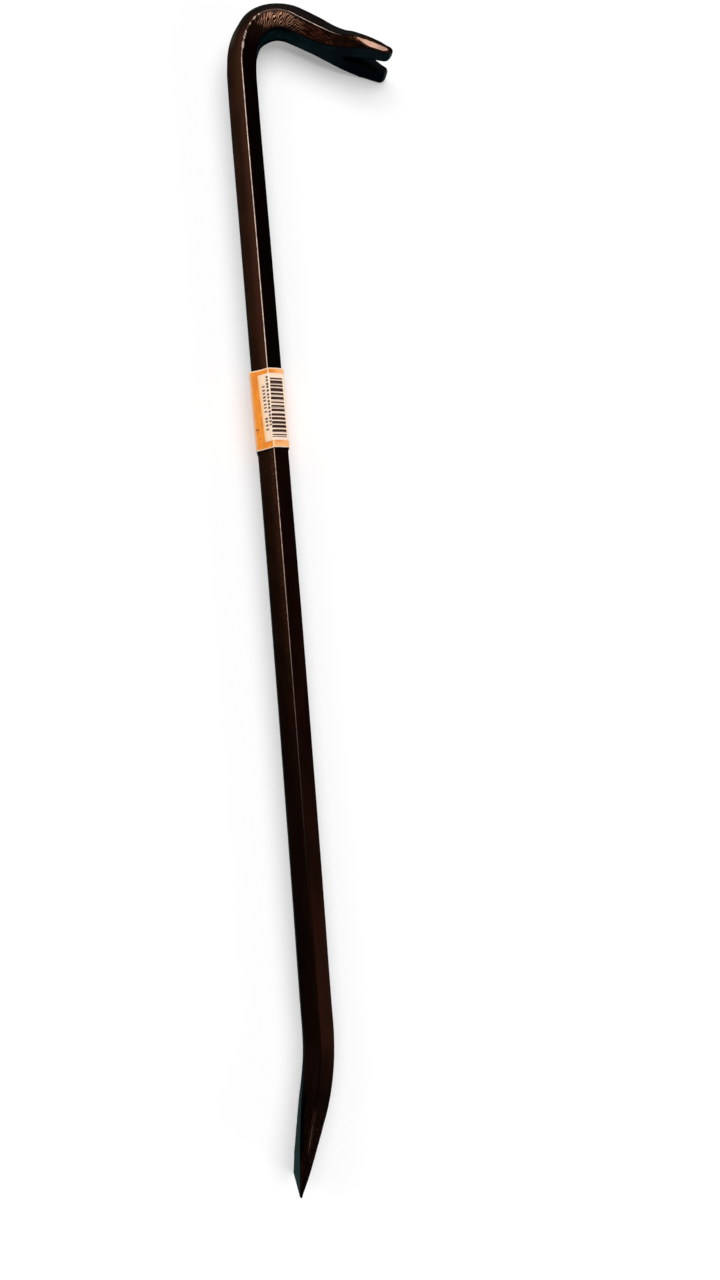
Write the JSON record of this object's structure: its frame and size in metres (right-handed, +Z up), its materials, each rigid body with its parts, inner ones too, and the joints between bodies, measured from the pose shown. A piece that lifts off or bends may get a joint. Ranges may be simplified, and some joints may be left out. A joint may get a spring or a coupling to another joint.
{
  "type": "crowbar",
  "caption": "Gooseneck crowbar forged from hexagonal bar, with a split nail-pulling claw past a tight hook, a flat prying chisel at the other end and a wraparound paper label.",
  "frame": {"origin": "middle of the box round the bar as it lies on its side, at the level of the floor it would lie on", "axes": "+Y runs along the shaft from the chisel to the hook, +X is the way the claw points, +Z is up with the bar lying on its side"},
  "size_m": [0.0994, 0.6104, 0.025],
  "materials": {
    "black_lacquered_steel": "forged steel with a thin semi-gloss black lacquer, worn bright on the ridges",
    "orange_printed_paper": "coated paper printed orange",
    "cream_printed_paper": "coated paper printed cream with dark bars"
  },
  "bodies": {
    "root": {"forged_bar": "black_lacquered_steel", "label_band": "orange_printed_paper", "barcode_label": "cream_printed_paper"}
  },
  "joints": []
}
